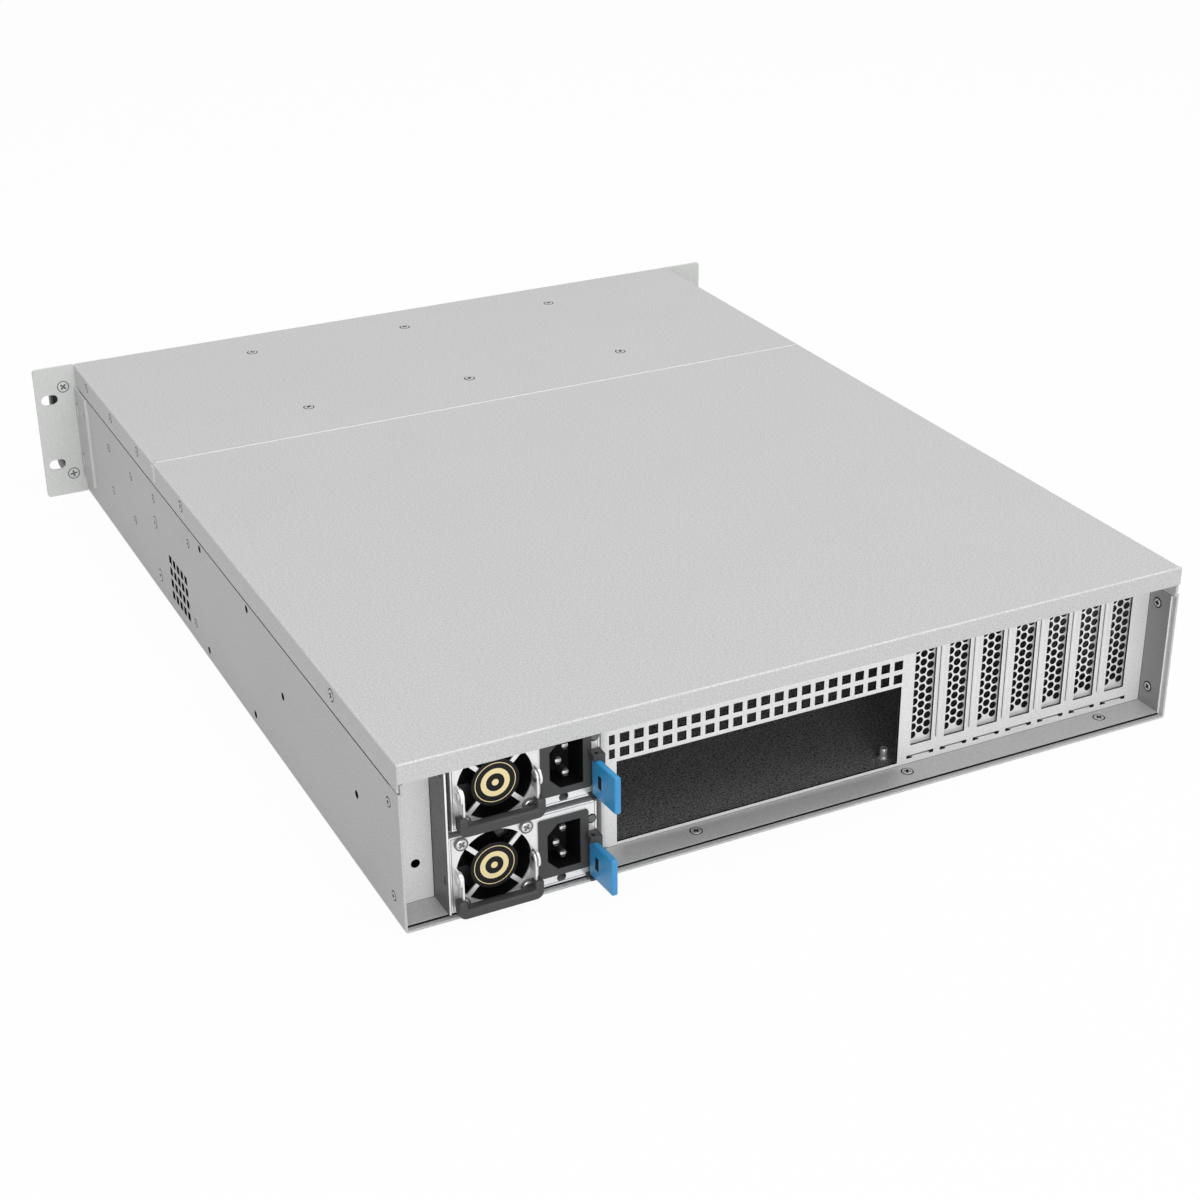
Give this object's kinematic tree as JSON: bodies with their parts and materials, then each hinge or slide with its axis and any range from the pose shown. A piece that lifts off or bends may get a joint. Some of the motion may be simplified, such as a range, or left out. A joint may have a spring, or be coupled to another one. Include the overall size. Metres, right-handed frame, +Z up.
{
  "type": "barebone rack server",
  "caption": "Two-unit rack server chassis with recessed rear panel, expansion slot covers, stacked redundant power modules, fan row and sliding front drive carriers.",
  "frame": {"origin": "centre of the base's underside, at mid-width and mid-depth of the folded shell", "axes": "+Z up, +Y towards the rear panel and power modules, +X towards the power modules' side"},
  "size_m": [0.4826, 0.6134, 0.0883],
  "materials": {
    "zinc_sheet": "fine-grained galvanised steel",
    "cover_sheet": "fine-grained galvanised steel, light",
    "bright_sheet": "bright zinc sheet",
    "dark_moulding": "matt black",
    "fan_plastic": "matt black",
    "latch_plastic": "satin blue",
    "lever_plastic": "matt dark grey",
    "circuit_board": "green laminate",
    "insulating_film": "matt black film",
    "standoff_brass": "plain",
    "handle_paint": "black satin",
    "screw_chrome": "bright zinc",
    "button_plastic": "grey"
  },
  "bodies": {
    "chassis": {"chassis_base": "zinc_sheet", "front_cover": "cover_sheet", "rear_cover": "cover_sheet", "rear_panel": "zinc_sheet", "slot_covers": "bright_sheet", "psu_cage": "zinc_sheet", "power_board": "circuit_board", "drive_cage": "zinc_sheet", "backplane": "circuit_board", "fan_wall": "zinc_sheet", "fan_frames": "fan_plastic", "floor_liner": "insulating_film", "standoffs": "standoff_brass", "ear_left": "zinc_sheet", "ear_right": "zinc_sheet", "front_handles": "handle_paint", "screws": "screw_chrome", "control_module": "dark_moulding", "psu_2_case": "bright_sheet", "psu_2_face": "bright_sheet", "psu_2_fan_frame": "fan_plastic", "psu_2_inlet": "dark_moulding"},
    "power_button": {"power_button": "button_plastic"},
    "psu_1": {"psu_1_case": "bright_sheet", "psu_1_face": "bright_sheet", "psu_1_fan_frame": "fan_plastic", "psu_1_inlet": "dark_moulding"},
    "fan_rotor_1": {"fan_rotor_1": "fan_plastic"},
    "fan_rotor_2": {"fan_rotor_2": "fan_plastic"},
    "fan_rotor_3": {"fan_rotor_3": "fan_plastic"},
    "psu_1_rotor": {"psu_1_rotor": "fan_plastic"},
    "psu_1_handle": {"psu_1_handle": "dark_moulding"},
    "psu_1_latch": {"psu_1_latch": "latch_plastic"},
    "psu_2_rotor": {"psu_2_rotor": "fan_plastic"},
    "psu_2_handle": {"psu_2_handle": "dark_moulding"},
    "psu_2_latch": {"psu_2_latch": "latch_plastic"},
    "carrier_01": {"carrier_01": "dark_moulding"},
    "carrier_lever_01": {"carrier_lever_01": "lever_plastic"},
    "carrier_02": {"carrier_02": "dark_moulding"},
    "carrier_lever_02": {"carrier_lever_02": "lever_plastic"},
    "carrier_03": {"carrier_03": "dark_moulding"},
    "carrier_lever_03": {"carrier_lever_03": "lever_plastic"},
    "carrier_04": {"carrier_04": "dark_moulding"},
    "carrier_lever_04": {"carrier_lever_04": "lever_plastic"},
    "carrier_05": {"carrier_05": "dark_moulding"},
    "carrier_lever_05": {"carrier_lever_05": "lever_plastic"},
    "carrier_06": {"carrier_06": "dark_moulding"},
    "carrier_lever_06": {"carrier_lever_06": "lever_plastic"},
    "carrier_07": {"carrier_07": "dark_moulding"},
    "carrier_lever_07": {"carrier_lever_07": "lever_plastic"},
    "carrier_08": {"carrier_08": "dark_moulding"},
    "carrier_lever_08": {"carrier_lever_08": "lever_plastic"},
    "carrier_09": {"carrier_09": "dark_moulding"},
    "carrier_lever_09": {"carrier_lever_09": "lever_plastic"},
    "carrier_10": {"carrier_10": "dark_moulding"},
    "carrier_lever_10": {"carrier_lever_10": "lever_plastic"},
    "carrier_11": {"carrier_11": "dark_moulding"},
    "carrier_lever_11": {"carrier_lever_11": "lever_plastic"},
    "carrier_12": {"carrier_12": "dark_moulding"},
    "carrier_lever_12": {"carrier_lever_12": "lever_plastic"}
  },
  "joints": [
    {"name": "power_button_press", "type": "slide", "parent": "chassis", "child": "power_button", "axis": [0, 1, 0], "range_m": [0, 0.001], "stiffness_N_per_m": 300, "springref_m": -0.0005},
    {"name": "fan_1_spin", "type": "hinge", "parent": "chassis", "child": "fan_rotor_1", "pos_m": [-0.105, -0.05, 0.0432], "axis": [0, 1, 0], "continuous": true},
    {"name": "fan_2_spin", "type": "hinge", "parent": "chassis", "child": "fan_rotor_2", "pos_m": [0, -0.05, 0.0432], "axis": [0, 1, 0], "continuous": true},
    {"name": "fan_3_spin", "type": "hinge", "parent": "chassis", "child": "fan_rotor_3", "pos_m": [0.105, -0.05, 0.0432], "axis": [0, 1, 0], "continuous": true},
    {"name": "psu_1_slide", "type": "slide", "parent": "chassis", "child": "psu_1", "axis": [0, 1, 0], "range_m": [0, 0.18]},
    {"name": "psu_1_fan_spin", "type": "hinge", "parent": "psu_1", "child": "psu_1_rotor", "pos_m": [0.1699, 0.265, 0.0225], "axis": [0, 1, 0], "continuous": true},
    {"name": "psu_1_handle_swing", "type": "hinge", "parent": "psu_1", "child": "psu_1_handle", "pos_m": [0.1699, 0.2815, 0.0225], "axis": [1, 0, 0], "range_deg": [0, 90]},
    {"name": "psu_1_latch_press", "type": "hinge", "parent": "psu_1", "child": "psu_1_latch", "pos_m": [0.1218, 0.2822, 0.014], "axis": [0, 0, -1], "range_deg": [0, 8], "stiffness_Nm_per_rad": 0.05, "springref_deg": -8.59},
    {"name": "psu_2_fan_spin", "type": "hinge", "parent": "chassis", "child": "psu_2_rotor", "pos_m": [0.1681, 0.265, 0.0657], "axis": [0, 1, 0], "continuous": true},
    {"name": "psu_2_handle_swing", "type": "hinge", "parent": "chassis", "child": "psu_2_handle", "pos_m": [0.1681, 0.2815, 0.0657], "axis": [1, 0, 0], "range_deg": [0, 90]},
    {"name": "psu_2_latch_press", "type": "hinge", "parent": "chassis", "child": "psu_2_latch", "pos_m": [0.12, 0.2822, 0.0572], "axis": [0, 0, -1], "range_deg": [0, 8], "stiffness_Nm_per_rad": 0.05, "springref_deg": -8.59},
    {"name": "carrier_01_slide", "type": "slide", "parent": "chassis", "child": "carrier_01", "axis": [0, -1, 0], "range_m": [0, 0.16]},
    {"name": "carrier_lever_01_swing", "type": "hinge", "parent": "carrier_01", "child": "carrier_lever_01", "pos_m": [-0.1149, -0.28115, 0.0081], "axis": [0, 0, 1], "range_deg": [0, 60]},
    {"name": "carrier_02_slide", "type": "slide", "parent": "chassis", "child": "carrier_02", "axis": [0, -1, 0], "range_m": [0, 0.16]},
    {"name": "carrier_lever_02_swing", "type": "hinge", "parent": "carrier_02", "child": "carrier_lever_02", "pos_m": [-0.0089, -0.28115, 0.0081], "axis": [0, 0, 1], "range_deg": [0, 60]},
    {"name": "carrier_03_slide", "type": "slide", "parent": "chassis", "child": "carrier_03", "axis": [0, -1, 0], "range_m": [0, 0.16]},
    {"name": "carrier_lever_03_swing", "type": "hinge", "parent": "carrier_03", "child": "carrier_lever_03", "pos_m": [0.0971, -0.28115, 0.0081], "axis": [0, 0, 1], "range_deg": [0, 60]},
    {"name": "carrier_04_slide", "type": "slide", "parent": "chassis", "child": "carrier_04", "axis": [0, -1, 0], "range_m": [0, 0.16]},
    {"name": "carrier_lever_04_swing", "type": "hinge", "parent": "carrier_04", "child": "carrier_lever_04", "pos_m": [0.2031, -0.28115, 0.0081], "axis": [0, 0, 1], "range_deg": [0, 60]},
    {"name": "carrier_05_slide", "type": "slide", "parent": "chassis", "child": "carrier_05", "axis": [0, -1, 0], "range_m": [0, 0.16]},
    {"name": "carrier_lever_05_swing", "type": "hinge", "parent": "carrier_05", "child": "carrier_lever_05", "pos_m": [-0.1149, -0.28115, 0.03663], "axis": [0, 0, 1], "range_deg": [0, 60]},
    {"name": "carrier_06_slide", "type": "slide", "parent": "chassis", "child": "carrier_06", "axis": [0, -1, 0], "range_m": [0, 0.16]},
    {"name": "carrier_lever_06_swing", "type": "hinge", "parent": "carrier_06", "child": "carrier_lever_06", "pos_m": [-0.0089, -0.28115, 0.03663], "axis": [0, 0, 1], "range_deg": [0, 60]},
    {"name": "carrier_07_slide", "type": "slide", "parent": "chassis", "child": "carrier_07", "axis": [0, -1, 0], "range_m": [0, 0.16]},
    {"name": "carrier_lever_07_swing", "type": "hinge", "parent": "carrier_07", "child": "carrier_lever_07", "pos_m": [0.0971, -0.28115, 0.03663], "axis": [0, 0, 1], "range_deg": [0, 60]},
    {"name": "carrier_08_slide", "type": "slide", "parent": "chassis", "child": "carrier_08", "axis": [0, -1, 0], "range_m": [0, 0.16]},
    {"name": "carrier_lever_08_swing", "type": "hinge", "parent": "carrier_08", "child": "carrier_lever_08", "pos_m": [0.2031, -0.28115, 0.03663], "axis": [0, 0, 1], "range_deg": [0, 60]},
    {"name": "carrier_09_slide", "type": "slide", "parent": "chassis", "child": "carrier_09", "axis": [0, -1, 0], "range_m": [0, 0.16]},
    {"name": "carrier_lever_09_swing", "type": "hinge", "parent": "carrier_09", "child": "carrier_lever_09", "pos_m": [-0.1149, -0.28115, 0.06517], "axis": [0, 0, 1], "range_deg": [0, 60]},
    {"name": "carrier_10_slide", "type": "slide", "parent": "chassis", "child": "carrier_10", "axis": [0, -1, 0], "range_m": [0, 0.16]},
    {"name": "carrier_lever_10_swing", "type": "hinge", "parent": "carrier_10", "child": "carrier_lever_10", "pos_m": [-0.0089, -0.28115, 0.06517], "axis": [0, 0, 1], "range_deg": [0, 60]},
    {"name": "carrier_11_slide", "type": "slide", "parent": "chassis", "child": "carrier_11", "axis": [0, -1, 0], "range_m": [0, 0.16]},
    {"name": "carrier_lever_11_swing", "type": "hinge", "parent": "carrier_11", "child": "carrier_lever_11", "pos_m": [0.0971, -0.28115, 0.06517], "axis": [0, 0, 1], "range_deg": [0, 60]},
    {"name": "carrier_12_slide", "type": "slide", "parent": "chassis", "child": "carrier_12", "axis": [0, -1, 0], "range_m": [0, 0.16]},
    {"name": "carrier_lever_12_swing", "type": "hinge", "parent": "carrier_12", "child": "carrier_lever_12", "pos_m": [0.2031, -0.28115, 0.06517], "axis": [0, 0, 1], "range_deg": [0, 60]}
  ]
}
